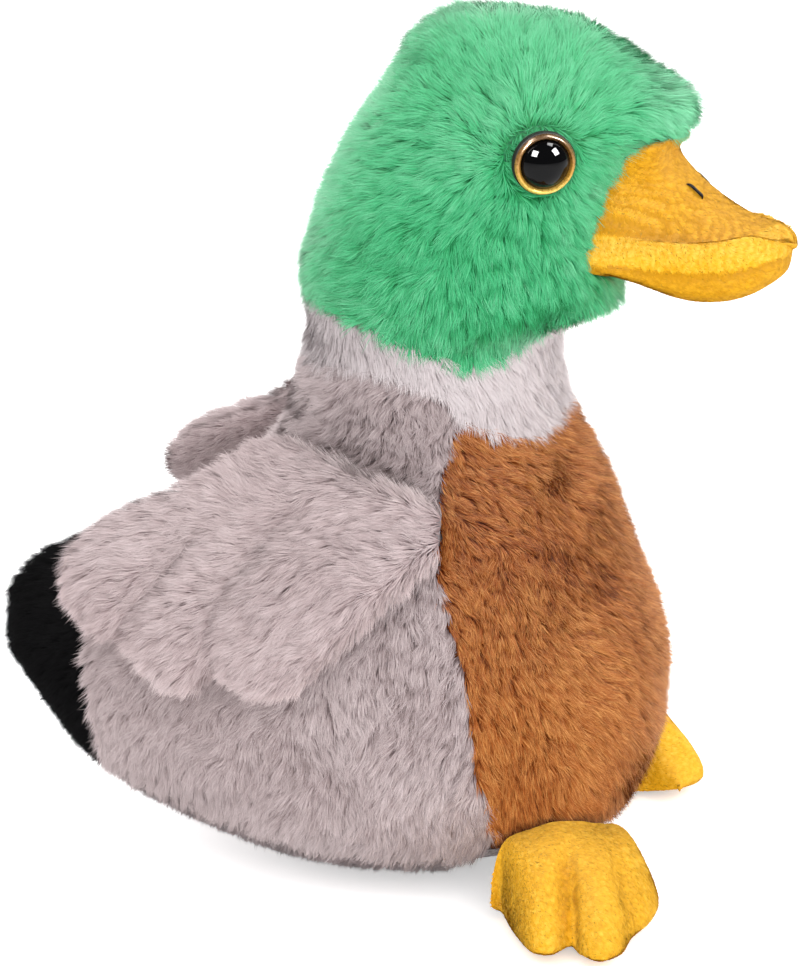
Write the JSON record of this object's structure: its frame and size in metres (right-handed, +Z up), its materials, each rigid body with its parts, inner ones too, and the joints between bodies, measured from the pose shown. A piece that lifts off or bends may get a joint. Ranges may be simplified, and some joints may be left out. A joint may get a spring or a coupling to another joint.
{
  "type": "plush duck",
  "caption": "Sitting mallard soft toy in sewn pile fabric: green head, white collar, brown breast, grey body and wings, yellow bill and flat webbed feet; wings and feet flex at their seams.",
  "frame": {"origin": "bottom centre of the toy, on the surface that it sits on", "axes": "+Z up, the bill points along -Y, the duck's own right side is -X"},
  "size_m": [0.117, 0.1619, 0.1746],
  "materials": {
    "green_pile": "long soft emerald pile",
    "white_pile": "long soft white pile",
    "grey_pile": "long soft warm grey pile",
    "brown_pile": "dense chestnut pile",
    "pale_pile": "short pale grey pile",
    "black_pile": "short black pile",
    "yellow_pile": "short golden velvet pile",
    "polyester_fill": "loose white polyester fibre",
    "pellet_bag_cloth": "plain woven bag of plastic pellets",
    "eye_clear": "clear glossy dome over a black pupil",
    "eye_gold": "painted gold iris on moulded plastic",
    "washer_plastic": "natural plastic locking washer",
    "black_thread": "black embroidery thread"
  },
  "bodies": {
    "body": {"breast_panel": "brown_pile", "right_side_panel": "grey_pile", "left_side_panel": "grey_pile", "tail_panel": "black_pile", "belly_panel": "pale_pile", "collar": "white_pile", "body_stuffing": "polyester_fill", "base_pellet_bag": "pellet_bag_cloth", "head_top_gusset": "green_pile", "right_head_panel": "green_pile", "left_head_panel": "green_pile", "head_stuffing": "polyester_fill", "upper_bill": "yellow_pile", "lower_bill": "yellow_pile", "bill_stuffing": "polyester_fill", "right_nostril_stitch": "black_thread", "left_nostril_stitch": "black_thread", "right_eye_lens": "eye_clear", "right_eye_back": "eye_gold", "right_eye_washer": "washer_plastic", "left_eye_lens": "eye_clear", "left_eye_back": "eye_gold", "left_eye_washer": "washer_plastic"},
    "right_wing": {"right_wing_outer_panel": "grey_pile", "right_wing_inner_panel": "grey_pile", "right_wing_wadding": "polyester_fill"},
    "left_wing": {"left_wing_outer_panel": "grey_pile", "left_wing_inner_panel": "grey_pile", "left_wing_wadding": "polyester_fill"},
    "right_foot": {"right_foot_top_panel": "yellow_pile", "right_foot_sole": "yellow_pile", "right_foot_stuffing": "polyester_fill"},
    "left_foot": {"left_foot_top_panel": "yellow_pile", "left_foot_sole": "yellow_pile", "left_foot_stuffing": "polyester_fill"}
  },
  "joints": [
    {"name": "right_wing_lift", "type": "hinge", "parent": "body", "child": "right_wing", "pos_m": [-0.03883, -0.019, 0.08025], "axis": [0.4644, 0, 0.8856], "range_deg": [0, 75]},
    {"name": "left_wing_lift", "type": "hinge", "parent": "body", "child": "left_wing", "pos_m": [0.03883, -0.019, 0.08025], "axis": [0.4644, 0, -0.8856], "range_deg": [0, 75]},
    {"name": "right_foot_flex", "type": "hinge", "parent": "body", "child": "right_foot", "pos_m": [-0.01998, -0.04123, 0.0095], "axis": [-0.7863, 0.6179, 0], "range_deg": [-20, 30]},
    {"name": "left_foot_flex", "type": "hinge", "parent": "body", "child": "left_foot", "pos_m": [0.01998, -0.04123, 0.0095], "axis": [-0.7863, -0.6179, 0], "range_deg": [-20, 30]}
  ]
}
